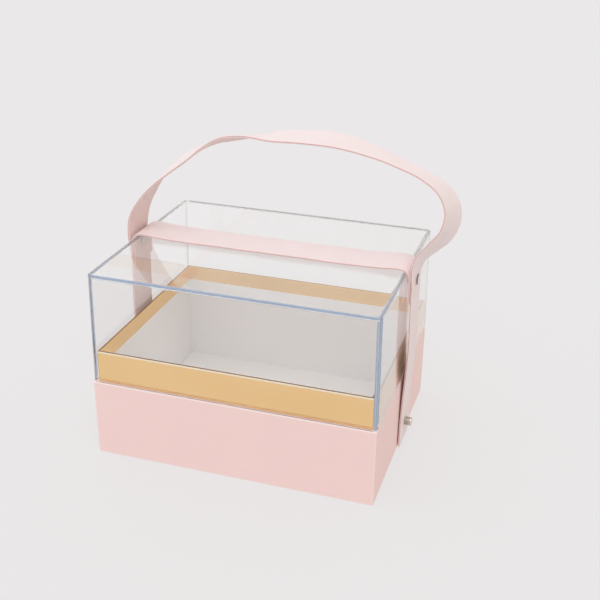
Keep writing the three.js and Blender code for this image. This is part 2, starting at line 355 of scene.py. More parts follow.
@dataclass(frozen=True)
class ClearPlastic(Finish):
    """Injection-moulded clear polystyrene: polished and colourless, with edges that gather light.

    Light that runs inside a wall leaves at its edges, so they look pale blue at the front and greyer
    behind, with a bright line where each round begins. This light is painted on as an opaque colour, blue
    at the front and greyer behind by the place along Y. The "edge" attribute places the painted edge light
    and "glint" the painted bright lines. A ray that is turned back more often than trapped_after runs
    along inside a wall, and is given the painted edge light too. Shadow rays and soft light pass straight
    through, as through a thin pane.
    """

    name: str = "clear_polystyrene"
    slot: str = "clear_plastic"
    ior: float = 1.5
    tint: tuple[float, float, float, float] = (0.984, 0.983, 0.981, 1.0)
    front_edge_painted_light: str = "#9AAAC3"
    rear_edge_painted_light: str = "#B0ADB2"
    painted_glint_colour: str = "#FDFEFF"
    least_depth: float = 0.78
    most_depth: float = 0.98
    streak: float = 14.0
    trapped_after: float = 1.5
    ripple: float = 60.0
    ripple_height: float = 0.02
    edge_roughness: float = 0.12
    front_y: float = -95.0
    pane_colour: tuple[float, float, float, float] = (0.985, 0.985, 0.985, 1.0)

    def shade(self, add: AddNode) -> Node:
        """Makes a clear glass with a faint moulding ripple, and lays the edges' painted light over it.

        Args:
            add: adds a node to the material's tree.

        Returns:
            The plastic's shader.
        """
        coordinate = add("TexCoord").outputs["Object"]
        ripple = add("TexNoise", {"Scale": 1 / (self.ripple * MM), "Detail": 1.0}, {"Vector": coordinate})
        bump = add("Bump", {"Strength": 0.2, "Distance": self.ripple_height * MM}, {"Height": ripple})
        body = add(
            "BsdfPrincipled",
            {"Transmission Weight": 1.0, "Roughness": 0.0, "IOR": self.ior, "Base Color": self.tint},
            {"Normal": bump},
        )
        rays = add("LightPath")
        turns = add(
            "Math", {"operation": "SUBTRACT"},
            {0: rays.outputs["Ray Depth"], 1: rays.outputs["Transmission Depth"]},
        )
        trapped = add("Math", {"operation": "GREATER_THAN", 1: self.trapped_after}, {0: turns})
        passing = add(
            "Math", {"operation": "MAXIMUM"},
            {0: rays.outputs["Is Shadow Ray"], 1: rays.outputs["Is Diffuse Ray"]},
        )
        # The edges' light is painted: pale blue at the front, greyer behind, with painted bright lines.
        place = add("SeparateXYZ", {}, {0: coordinate})
        depth_range = {"From Min": self.front_y * MM, "From Max": 0.0}
        behind = add("MapRange", depth_range, {"Value": place.outputs["Y"]})
        gathered = add(
            "Mix", {"data_type": "RGBA", 6: self.front_edge_painted_light, 7: self.rear_edge_painted_light}, {0: behind}
        )
        glint = add("Attribute", {"attribute_name": "glint"})
        lined = add("Mix", {"data_type": "RGBA", 7: self.painted_glint_colour}, {0: glint, 6: gathered})
        lit = add("BsdfPrincipled", {"Roughness": self.edge_roughness}, {"Base Color": lined})
        edge = add("Attribute", {"attribute_name": "edge"})
        streak = add("TexNoise", {"Scale": 1 / (self.streak * MM), "Detail": 2.0}, {"Vector": coordinate})
        strength = add(
            "MapRange",
            {**NOISE_SPREAD, "To Min": self.least_depth, "To Max": self.most_depth},
            {"Value": streak},
        )
        depth = add("Math", {"operation": "MULTIPLY"}, {0: edge, 1: strength})
        gathering = add("Math", {"operation": "MAXIMUM"}, {0: depth, 1: trapped})
        edged = add("MixShader", {}, {0: gathering, 1: body, 2: lit})
        pane = add("BsdfTransparent", {"Color": self.pane_colour})
        return add("MixShader", {}, {0: passing, 1: edged, 2: pane})


@dataclass(frozen=True)
class StrapLeather(Finish):
    """Polyurethane-coated split leather: soft satin, pressed with a fine pebble grain.

    The pebbles are about 0.8 mm across, drawn twice as coarse as the real grain so that they show. The
    press bit deeper in some places than in others, which are about 18 mm across. The pebbles' valleys are
    painted darker, more so in those places, as painted shade.
    """

    name: str
    slot: str
    colour: str
    valley_shade_colour: str
    roughness: float = 0.48
    specular: float = 0.2
    pebble: float = 0.8
    pebble_height: float = 0.05
    pebble_sheen: tuple[float, float] = (-0.05, 0.12)
    patch: float = 18.0

    def shade(self, add: AddNode) -> Node:
        """Presses the pebble grain into the coat, along the strap's own UV map in metres.

        Args:
            add: adds a node to the material's tree.

        Returns:
            The leather's shader.
        """
        along = add("UVMap", {"uv_map": "strap"})
        pebble = add(
            "TexVoronoi",
            {"voronoi_dimensions": "2D", "feature": "SMOOTH_F1", "Scale": 1 / (self.pebble * MM)},
            {"Vector": along},
        )
        patch = add(
            "TexNoise",
            {"noise_dimensions": "2D", "Scale": 1 / (self.patch * MM), "Detail": 3.0},
            {"Vector": along},
        )
        # The grain's valleys are painted darker, as painted shade.
        depth = add("Math", {"operation": "MULTIPLY"}, {0: pebble, 1: patch})
        coloured = add("Mix", {"data_type": "RGBA", 6: self.colour, 7: self.valley_shade_colour}, {0: depth})
        low, high = (self.roughness + change for change in self.pebble_sheen)
        dull = add("MapRange", {"To Min": low, "To Max": high}, {"Value": pebble})
        bump = add(
            "Bump", {"Strength": 0.4, "Distance": self.pebble_height * MM, "invert": True},
            {"Height": pebble},
        )
        return add(
            "BsdfPrincipled", {"Specular IOR Level": self.specular},
            {"Base Color": coloured, "Roughness": dull, "Normal": bump},
        )


@dataclass(frozen=True)
class EdgePaint(Finish):
    """Brushed-on edge paint over two glued layers of leather, smooth, with a faint run of the brush.

    The brush strokes are about 0.6 mm wide and eight times as long. The glue line between the layers shows
    dark brown, and the "seam" attribute places it.
    """

    name: str = "painted_strap_edge"
    slot: str = "strap_leather"
    colour: str = "#F3D4D3"
    thin_colour: str = "#F7DEDD"
    seam_colour: str = "#A67C78"
    brush: float = 0.6
    brush_height: float = 0.03
    brush_squeeze: float = 0.12

    def shade(self, add: AddNode) -> Node:
        """Streaks the paint along the strap, and draws the glue line.

        Args:
            add: adds a node to the material's tree.

        Returns:
            The paint's shader.
        """
        along = add("UVMap", {"uv_map": "strap"})
        stretched = add("Mapping", {"Scale": (self.brush_squeeze, 1.0, 1.0)}, {"Vector": along})
        streak = add(
            "TexNoise", {"noise_dimensions": "2D", "Scale": 1 / (self.brush * MM), "Detail": 3.0},
            {"Vector": stretched},
        )
        mixed = add("Mix", {"data_type": "RGBA", 6: self.colour, 7: self.thin_colour}, {0: streak})
        seam = add("Attribute", {"attribute_name": "seam"})
        seamed = add("Mix", {"data_type": "RGBA", 7: self.seam_colour}, {0: seam, 6: mixed})
        bump = add("Bump", {"Strength": 0.3, "Distance": self.brush_height * MM}, {"Height": streak})
        return add(
            "BsdfPrincipled", {"Roughness": 0.42, "Specular IOR Level": 0.5},
            {"Base Color": seamed, "Normal": bump},
        )


@dataclass(frozen=True)
class PlatedMetal(Finish):
    """Nickel-plated turned or pressed brass: a warm grey mirror with faint turning rings and handling haze.

    Grooves and steps are painted nearly black, where the "deep" attribute says, as painted shade and dark
    reflection. The turning rings move on by one radian each "ring" of length.
    """

    name: str
    slot: str
    colour: str
    roughness: float
    ring: float = 0.35
    ring_height: float = 0.01
    haze: float = 2.5
    haze_sheen: tuple[float, float] = (-0.06, 0.12)
    painted_dark_colour: str = "#2B2724"

    def shade(self, add: AddNode) -> Node:
        """Rings the metal about its axis, which runs along X, and hazes it in patches.

        Args:
            add: adds a node to the material's tree.

        Returns:
            The metal's shader.
        """
        coordinate = add("TexCoord").outputs["Object"]
        haze = add(
            "TexNoise",
            {"Scale": 1 / (self.haze * MM), "Detail": 4.0, "Roughness": 0.65},
            {"Vector": coordinate},
        )
        bands = {"wave_type": "BANDS", "bands_direction": "X"}
        rings = add(
            "TexWave",
            {**bands, "Scale": WAVE_RADIAN / (self.ring * MM), "Detail": 1.0},
            {"Vector": coordinate},
        )
        low, high = (self.roughness + change for change in self.haze_sheen)
        dull = add("MapRange", {"To Min": low, "To Max": high}, {"Value": haze})
        bump = add("Bump", {"Strength": 0.15, "Distance": self.ring_height * MM}, {"Height": rings})
        # Grooves and steps are painted dark, as painted shade and dark reflection.
        deep = add("Attribute", {"attribute_name": "deep"})
        painted_dark = add("Mix", {"data_type": "RGBA", 6: self.colour, 7: self.painted_dark_colour}, {0: deep})
        return add(
            "BsdfPrincipled", {"Metallic": 1.0}, {"Base Color": painted_dark, "Roughness": dull, "Normal": bump}
        )


PINK_PAPER = SheetPaper("pink_covering_paper", "pink_paper", "#F2D3D1", "#F5D8D5", "#FDECEA")
WHITE_PAPER = SheetPaper(
    "white_lining_paper", "white_paper", "#F6F5F5", "#F2F1F1", "#FFFFFF", roughness=0.7, grain=0.7
)
GOLD_FOIL = FoilPaper()
BOARD = Greyboard()
CLEAR_PLASTIC = ClearPlastic()
LEATHER = StrapLeather("coated_leather", "strap_leather", "#F0E3E4", "#E5D4D4")
# The strap's back: the same leather, painted warmer and a little darker, as painted shade between strap and
# box.
SHADED_LEATHER_BACK = StrapLeather("coated_leather_back_painted_shade", "strap_leather", "#F1DBD9", "#E6CBC9", roughness=0.6)
EDGE_PAINT = EdgePaint()
RIVET_METAL = PlatedMetal("polished_nickel", "rivet_metal", "#D6D2CC", 0.16)
STUD_METAL = PlatedMetal("satin_nickel", "stud_metal", "#DDD5C8", 0.3)


# ---- surfaces


@dataclass
class Surface:
    """A grid of points, in millimetres, with what its faces need.

    Fields:
        points: places, as rows by columns by three.
        rows_close: True if the last row joins the first.
        capped: True if the first and last rows are each filled by one flat face.
        run: the distance along the rows, for the UV map.
        girth: the distance along the columns, one more than the columns, for the UV map.
        marks: named point attributes, from 0 to 1, that a finish reads, such as "fold".
        face_finish: which of the piece's finishes each face has.
    """

    points: np.ndarray
    rows_close: bool = False
    capped: bool = False
    run: Optional[np.ndarray] = None
    girth: Optional[np.ndarray] = None
    marks: dict[str, np.ndarray] = field(default_factory=dict)
    face_finish: Optional[np.ndarray] = None

    def faces(self) -> tuple[np.ndarray, np.ndarray]:
        """Joins each point with its neighbours in the next row and column; columns close on themselves.

        Returns:
            The vertices of each quad, and the row and column of each of its corners.
        """
        rows, columns = self.points.shape[:2]
        row, column = np.meshgrid(
            np.arange(rows if self.rows_close else rows - 1), np.arange(columns), indexing="ij"
        )
        steps = np.array([(0, 0), (1, 0), (1, 1), (0, 1)])
        corner_rows = row.reshape(-1, 1) + steps[:, 0]
        corner_columns = column.reshape(-1, 1) + steps[:, 1]
        quads = (corner_rows % rows) * columns + corner_columns % columns
        return quads, np.stack([corner_rows, corner_columns], axis=-1)


def make_piece(name: str, surface: Surface, finishes: Sequence[Finish], sharp: float = 50.0) -> Object:
    """Makes a mesh object from a surface, in metres, facing outwards.

    Args:
        name: the piece's name.
        surface: its grid.
        finishes: the finishes that surface.face_finish counts, or the only one.
        sharp: edges that turn by more than this many degrees stay sharp.

    Returns:
        The object, at the origin, with its place in its mesh.
    """
    quads, corners = surface.faces()
    rows, columns = surface.points.shape[:2]
    polygons = quads.tolist()
    if surface.capped:
        polygons.append(list(range(columns)))
        polygons.append(list(range((rows - 1) * columns, rows * columns))[::-1])
    points = surface.points.reshape(-1, 3) * MM
    if signed_volume(points, quads) < 0:
        polygons = [polygon[::-1] for polygon in polygons]
        corners = corners[:, ::-1]
    mesh = bpy.data.meshes.new(name)
    mesh.from_pydata(points.tolist(), [], polygons)
    if surface.run is not None:
        uv = np.zeros((len(mesh.loops), 2), np.float32)
        count = corners.shape[0] * 4
        uv[:count, 0] = surface.run[corners[..., 0].ravel()] * MM
        uv[:count, 1] = surface.girth[corners[..., 1].ravel()] * MM
        mesh.uv_layers.new(name="strap").data.foreach_set("uv", uv.ravel())
    for mark, strength in surface.marks.items():
        everywhere = np.broadcast_to(strength, (rows, columns)).astype(np.float32)
        mesh.attributes.new(mark, "FLOAT", "POINT").data.foreach_set("value", everywhere.ravel())
    for finish in finishes:
        mesh.materials.append(finish.material())
    if surface.face_finish is not None:
        kinds = np.concatenate([surface.face_finish.ravel(), np.ones(len(polygons) - len(quads))])
        mesh.polygons.foreach_set("material_index", kinds.astype(np.int32))
    mesh.polygons.foreach_set("use_smooth", np.ones(len(polygons), bool))
    mesh.set_sharp_from_angle(angle=math.radians(sharp))
    mesh.update()
    return place_object(name, mesh)


def place_object(name: str, data: bpy.types.ID) -> Object:
    """Makes an object of a mesh, a camera or a lamp, and links it to the scene.

    Args:
        name: the object's name.
        data: what the object shows.

    Returns:
        The object, at the origin.
    """
    placed = bpy.data.objects.new(name, data)
    bpy.context.scene.collection.objects.link(placed)
    return placed


def signed_volume(points: np.ndarray, quads: np.ndarray) -> float:
    """Adds up the volumes under each quad, seen from the middle of the points.

    Args:
        points: the vertices.
        quads: four vertex numbers a face.

    Returns:
        Six times the volume, positive where the faces look outwards.
    """
    p = points - points.mean(axis=0)
    a, b, c, d = (p[quads[:, i]] for i in range(4))
    first = np.einsum("ij,ij->i", a, np.cross(b, c))
    second = np.einsum("ij,ij->i", a, np.cross(c, d))
    return float(first.sum() + second.sum())


# The steps of a fold, the least radius of a corner, and how far from it a wall's flat shading begins.
FOLD_STEPS = 5
LEAST_CORNER = 0.15
FLAT_MARGIN = 0.6


def smooth_path(points: np.ndarray, step: float) -> np.ndarray:
    """Runs a cubic through a list of points, evaluated at even steps of its chord length.

    Each stretch is a Hermite cubic whose end slopes are the finite-difference slopes at the points.

    Args:
        points: the points, one row each, of which the first three columns are a place.
        step: the distance between results.

    Returns:
        The same columns at each step, both ends included.
    """
    points = np.asarray(points, float)
    chords = np.linalg.norm(np.diff(points[:, :3], axis=0), axis=1)
    knots = np.concatenate([[0], np.cumsum(chords)])
    slopes = np.gradient(points, knots, axis=0)
    where = np.linspace(0, knots[-1], int(round(knots[-1] / step)) + 1)
    i = np.clip(np.searchsorted(knots, where, side="right") - 1, 0, len(knots) - 2)
    span = (knots[i + 1] - knots[i])[:, None]
    t = ((where - knots[i])[:, None]) / span
    return (
        points[i] * (2 * t**3 - 3 * t**2 + 1)
        + slopes[i] * span * (t**3 - 2 * t**2 + t)
        + points[i + 1] * (3 * t**2 - 2 * t**3)
        + slopes[i + 1] * span * (t**3 - t**2)
    )


def fold_line(
    corner: Sequence[float], turn: tuple[float, float], radius: float, steps: int = FOLD_STEPS
) -> np.ndarray:
    """Draws a quarter-round fold in a profile.

    Args:
        corner: the sharp corner, as inset and height.
        turn: the directions in which the profile comes and goes, as a sign of the inset and of the height
            from the corner to the arc's centre.
        radius: the fold's radius.
        steps: the number of steps in the arc.

    Returns:
        Points on the arc from the side where the inset is fixed to the side where the height is.
    """
    angle = np.linspace(0, math.pi / 2, steps + 1)
    centre = np.array([corner[0] + turn[0] * radius, corner[1] + turn[1] * radius])
    inset = centre[0] - turn[0] * radius * np.cos(angle)
    height = centre[1] - turn[1] * radius * np.sin(angle)
    return np.stack([inset, height], axis=1)


def round_box(
    profile: np.ndarray, half: np.ndarray, corner: float, steps: int = 8, lean: Optional[np.ndarray] = None
) -> np.ndarray:
    """Carries a profile round a rectangle with rounded corners.

    Each profile point draws its own rectangle, smaller by its inset, whose corner radius is smaller by
    the inset too, down to a least radius. A further column a little way along the wall on each side of
    a corner keeps the shading of the wall flat.

    Args:
        profile: insets and heights, one row each.
        half: its first two values are half the outer length and half the outer breadth.
        corner: the outer corner radius.
        steps: the number of steps in a corner.
        lean: how much further in each profile point lies, which leaves its corner radius as it is.

    Returns:
        Points as profile rows by columns round the rectangle by three.
    """
    inset = profile[:, 0][:, None]
    radius = np.maximum(corner - inset, LEAST_CORNER)
    if lean is not None:
        inset = inset + lean[:, None]
    quarter = np.pad(np.linspace(0, math.pi / 2, steps + 1), 1, mode="edge")
    signs = np.array([(1, 1), (-1, 1), (-1, -1), (1, -1)])
    angle = (quarter[None, :] + np.arange(4)[:, None] * math.pi / 2).ravel()[None, :]
    along = np.tile(np.pad(np.zeros(steps + 1), 1, constant_values=(-FLAT_MARGIN, FLAT_MARGIN)), 4)[None, :]
    sign_x = np.repeat(signs[:, 0], len(quarter))[None, :]
    sign_y = np.repeat(signs[:, 1], len(quarter))[None, :]
    x = sign_x * (half[0] - inset - radius) + radius * np.cos(angle) - along * np.sin(angle)
    y = sign_y * (half[1] - inset - radius) + radius * np.sin(angle) + along * np.cos(angle)
    z = np.broadcast_to(profile[:, 1][:, None], x.shape)
    return np.stack([x, y, z], axis=-1)


@dataclass(frozen=True)
class TurnedSpot:
    """The place of a round CAD node whose axis lies along X, at one end of the box.

    Fields:
        side: the end of the box that it is on.
        node: the CAD node's name, without its side.
        axis: the axis's y and z.
        steps: the number of steps round the axis.
    """

    side: Side
    node: str
    axis: tuple[float, float]
    steps: int = 48

    def span(self) -> tuple[float, float]:
        """Gives the node's distance from the box's middle, and its length along X."""
        low, high = node_box(f"{self.node}_{self.side.word}")
        return min(abs(low[0]), abs(high[0])), high[0] - low[0]

    def turn(
        self,
        name: str,
        profile: np.ndarray,
        finish: Finish,
        body: str,
        sharp: float,
        deep: Optional[np.ndarray] = None,
    ) -> None:
        """Turns a profile about the axis: x is the distance outwards, y and z a circle of each radius.

        Args:
            name: the piece's name, without its side.
            profile: radii and distances outwards from the node's inner end, one row each.
            finish: the piece's finish.
            body: the CAD body that it moves with.
            sharp: edges that turn by more than this many degrees stay sharp.
            deep: how strongly each row is painted dark as shade, if any is.
        """
        angle = np.arange(self.steps) * (2 * math.pi / self.steps) * self.side.value
        radius, outwards = profile[:, :1], self.side.value * (self.span()[0] + profile[:, 1:])
        y, z = self.axis[0] + radius * np.cos(angle), self.axis[1] + radius * np.sin(angle)
        points = np.stack([np.broadcast_to(outwards, y.shape), y, z], axis=-1)
        surface = Surface(points, marks={} if deep is None else {"deep": deep[:, None]})
        piece = make_piece(f"{name}_{self.side.word}", surface, [finish], sharp)
        weld(piece)
        adopt(piece, finish, body, f"{self.node}_{self.side.word}")


# ---- tray and collar


@dataclass
class Tray:
    """The paper-covered tray: boards inside, one wrap outside, a sheet below.

    Fields:
        paper: the covering paper's thickness.
        fold: the radius of its folds over the boards' edges.
        corner: the radius of its upright corners.
        turn_in: how far it goes down inside.
        turn_under: how far it goes in underneath.
        wall: the boards' thickness.
        margin: how far from a fold the flat part of a face begins.
        burnish_and_highlight: how pale the folds below, the rim folds and the upright corners are painted,
            as burnishing and a painted highlight.
        boards: the places of its boards, as the CAD nodes have them.
    """

    paper: float = 0.3
    fold: float = 0.55
    corner: float = 0.9
    turn_in: float = 15.0
    turn_under: float = 15.0
    wall: float = 3.5
    margin: float = 2.0
    burnish_and_highlight: tuple[float, float, float] = (0.35, 0.75, 0.5)
    boards: tuple[str, ...] = ("floor", "front", "back", "left", "right")

    def wrap_profile(self, height: float) -> tuple[np.ndarray, np.ndarray]:
        """Goes round the folded paper's thickness: outer face first, then back along its inner face.

        Args:
            height: the tray's height.

        Returns:
            Insets and heights, and the fold strength at each.
        """
        thick, fold, margin = self.paper, self.fold, self.margin
        inner, end = thick + self.wall, height - self.turn_in
        inside = [(inner, end), (inner, height - thick), (thick, height - thick), (thick, thick)]
        parts = [
            [(self.turn_under, 0.0), (2 * margin, 0.0)],
            fold_line((0, 0), (1, 1), fold)[::-1],
            [(0.0, margin), (0.0, height - margin)],
            fold_line((0, height), (1, -1), fold),
            fold_line((inner + thick, height), (-1, -1), fold)[::-1],
            [(inner + thick, height - margin), (inner + thick, end)],
            [*inside, (self.turn_under, thick)],
        ]
        low_fold, top_fold = self.burnish_and_highlight[:2]
        burnish_and_highlight = [0.0, low_fold, 0.0, top_fold, top_fold, 0.0, 0.0]
        return np.concatenate(parts), np.repeat(burnish_and_highlight, [len(part) for part in parts])

    def build(self) -> None:
        """Makes the wrap and dresses the boards and the sheet below."""
        high = node_box("base_wrap")[1]
        profile, strength = self.wrap_profile(high[2])
        points = round_box(profile, high, self.corner)
        # Folds and upright corners are painted paler: partly burnishing, partly a painted highlight.
        fold = np.maximum(strength[:, None], self.corner_highlight(points.shape[1]))
        surface = Surface(points, rows_close=True, marks={"fold": fold})
        wrap = make_piece("covering_wrap", surface, [PINK_PAPER])
        adopt(wrap, PINK_PAPER, "tray", "base_wrap")
        dress("base_bottom_sheet", PINK_PAPER)
        for place in self.boards:
            dress(f"base_{place}_board", BOARD)

    def corner_highlight(self, columns: int) -> np.ndarray:
        """Paints the upright corners paler, most in the middle of each, as burnishing and a painted
        highlight.

        Args:
            columns: the wrap's columns, a quarter of them round each corner.

        Returns:
            The fold strength of each column, as one row.
        """
        across = np.arange(columns) % (columns // 4) / (columns // 4 - 1)
        return self.burnish_and_highlight[2] * (1 - 2 * np.abs(across - 0.5))[None, :]


@dataclass
class Collar:
    """The collar that lines the tray and stands above its rim, and the white lining inside it.

    Fields:
        foil: the foil paper's thickness.
        board: the collar boards' thickness.
        fold: the radius of the foil's folds over the boards' edges.
        polish: how far down its face the painted highlight on the outer fold reaches.
        corner: the radius of its upright corners.
        inside: how far the foil goes down inside.
        margin: how far from a fold the flat part of the inner face begins.
        top_painted_dark: how strongly the narrow top edge is painted darker, as a painted dark reflection.
        boards: the places of its boards, as the CAD nodes have them.
    """

    foil: float = 0.25
    board: float = 2.0
    fold: float = 0.55
    polish: float = 1.1
    corner: float = 0.6
    inside: float = 14.0
    margin: float = 2.0
    top_painted_dark: float = 0.9
    boards: tuple[str, ...] = ("front", "back", "left", "right")

    def build(self) -> None:
        """Makes the folded foil, and dresses the boards, the lining and the floor card.

        The profile goes up the outer face, over the top and down inside, then back along its underside.
        """
        low, high = node_box("collar_foil")
        thick, fold, top = self.foil, self.fold, high[2]
        span = 2 * thick + self.board
        end = top - self.inside
        profile = np.concatenate(
            [
                [(0.0, low[2]), (0.0, top - 1.4 * self.polish), (0.0, top - self.polish)],
                fold_line((0, top), (1, -1), fold),
                fold_line((span, top), (-1, -1), fold)[::-1],
                [(span, top - self.margin), (span, end), (span - thick, end)],
                [(span - thick, top - thick), (thick, top - thick), (thick, low[2])],
            ]
        )
        inset, under_top = profile[:, :1], top - profile[:, 1:]
        # fold paints a highlight down the outer face; deep paints a dark reflection on the top edge.
        marks = {
            "fold": 1.0 * ((inset < 0.5 * fold) & (under_top < 1.01 * self.polish)),
            "deep": self.top_painted_dark * (under_top < 0.1 * fold),
        }
        points = round_box(profile, high, self.corner)
        surface = Surface(points, rows_close=True, marks=marks)
        foil = make_piece("folded_gold_foil", surface, [GOLD_FOIL])
        adopt(foil, GOLD_FOIL, "tray", "collar_foil")
        for place in self.boards:
            dress(f"collar_{place}_board", BOARD)
        dress("inner_lining", WHITE_PAPER)
        dress("inner_floor_card", WHITE_PAPER)


# ---- lid


@dataclass
class Lid:
    """The one-piece clear lid, drawn in by its draft towards the top.

    Fields:
        wall: the wall's thickness.
        draft: how far each side draws in between the rim and the top.
        corner: the radius of the upright corners at the outside.
        edge: the radius round the top, outside.
        inner_edge: the radius round the ceiling, inside.
        rim_edge: the small radius on the rim.
        gather: how far from an edge the wall is painted with the light that it gathers.
        inner_gather: how far that painted light reaches on the inner faces, which lie deeper.
        line: the breadth of the painted bright line at each side of that.
        upright_line: how bright the lines of the upright edges are, against those round the top.
        top_share: how much gathered light the edges round the top show, against the upright ones.
        rear_upright: how strongly the upright edges at the rear, which gather hardly any light, are painted
            pale.
        rim_line: the height of the painted bright line along the rim.
        rim_share: how much gathered light the rim shows.
        near: how far from an edge the plain part of a wall begins.
        ring: how far in the flat ring round the top reaches, inside which one flat face closes it.
    """

    wall: float = 2.8
    draft: float = 1.2
    corner: float = 4.5
    edge: float = 1.4
    inner_edge: float = 0.8
    rim_edge: float = 0.4
    gather: float = 2.2
    inner_gather: float = 3.8
    line: float = 0.4
    upright_line: float = 0.35
    top_share: float = 0.3
    rear_upright: float = 0.7
    rim_line: float = 0.5
    rim_share: float = 0.3
    near: float = 4.0
    ring: float = 9.0

    def build(self) -> None:
        """Carries the wall's section round the box, and closes the top and the ceiling with a flat face."""
        low, high = node_box("lid_shell")
        rim, top, wall, near = low[2], high[2], self.wall, self.near
        ceiling, steps = top - wall, self.steps()
        inner = [ceiling - 2 * self.inner_edge, ceiling - near, rim + near, rim + near / 4]
        section = np.concatenate(
            [
                [(self.ring, ceiling), (wall + 2 * self.inner_edge, ceiling)],
                fold_line((wall, ceiling), (1, -1), self.inner_edge)[::-1],
                [(wall, height) for height in inner],
                fold_line((wall, rim), (-1, 1), self.rim_edge, 3),
                fold_line((0, rim), (1, 1), self.rim_edge, 3)[::-1],
                [(0.0, rim + near / 4), (0.0, rim + near)],
                [(0.0, top - step) for step in steps[::-1]],
                fold_line((0, top), (1, -1), self.edge),
                [(step, top) for step in steps],
                [(self.ring, top)],
            ]
        )
        lean = self.draft * (section[:, 1] - rim) / (top - rim)
        points = round_box(section, high, self.corner, 20, lean)
        surface = Surface(points, capped=True, marks=self.marks(points))
        lid = make_piece("clear_lid", surface, [CLEAR_PLASTIC], 60)
        adopt(lid, CLEAR_PLASTIC, "lid", "lid_shell")

    def steps(self) -> np.ndarray:
        """Gives the distances from an edge of the rows that carry the inner bright line."""
        return self.gather + self.line * np.array([-1.0, -0.5, 0.0, 0.5, 1.0])

    def marks(self, points: np.ndarray) -> dict[str, np.ndarray]:
        """Marks where the lid's gathered light and its bright lines are painted.

        A point's depths are its distances inside the four sides and the top. The second smallest of them
        is its distance from the nearest edge. Inside, where the smallest is the wall's thickness, the
        gathered light shows only in the inner corners.

        Args:
            points: the lid's grid.

        Returns:
            The "edge" and "glint" attributes.
        """
        low, high = node_box("lid_shell")
        drawn = self.draft * (points[..., 2] - low[2]) / (high[2] - low[2])
        depths = np.stack(
            [
                high[0] - drawn - np.abs(points[..., 0]),
                high[1] - drawn - np.abs(points[..., 1]),
                high[2] - points[..., 2],
            ]
        )
        under, from_edge = np.sort(depths, axis=0)[:2]
        reach = np.where(under > self.wall - self.line, self.inner_gather, self.gather)
        edge = np.clip((reach + self.line - from_edge) / self.line, 0, 1)
        inner_line = np.clip(1 - np.abs(from_edge - self.gather) / self.line, 0, 1)
        outer_line = np.clip(1 - from_edge / self.line, 0, 1)
        upright = depths[2] > self.inner_gather + self.line
        line = np.where(upright, self.upright_line, 1.0) * np.maximum(inner_line, outer_line)
        # The rear upright edges are painted pale, and a bright line is painted along the rim.
        rear = self.rear_upright * (upright & (points[..., 1] > 0))
        rim = np.clip(1.5 - (points[..., 2] - low[2]) / self.rim_line, 0, 1)
        edge *= np.where(upright, 1.0, self.top_share)
        glint = np.maximum.reduce([line, rear, rim])
        return {"edge": np.maximum(edge, self.rim_share * rim), "glint": glint}


# ---- straps


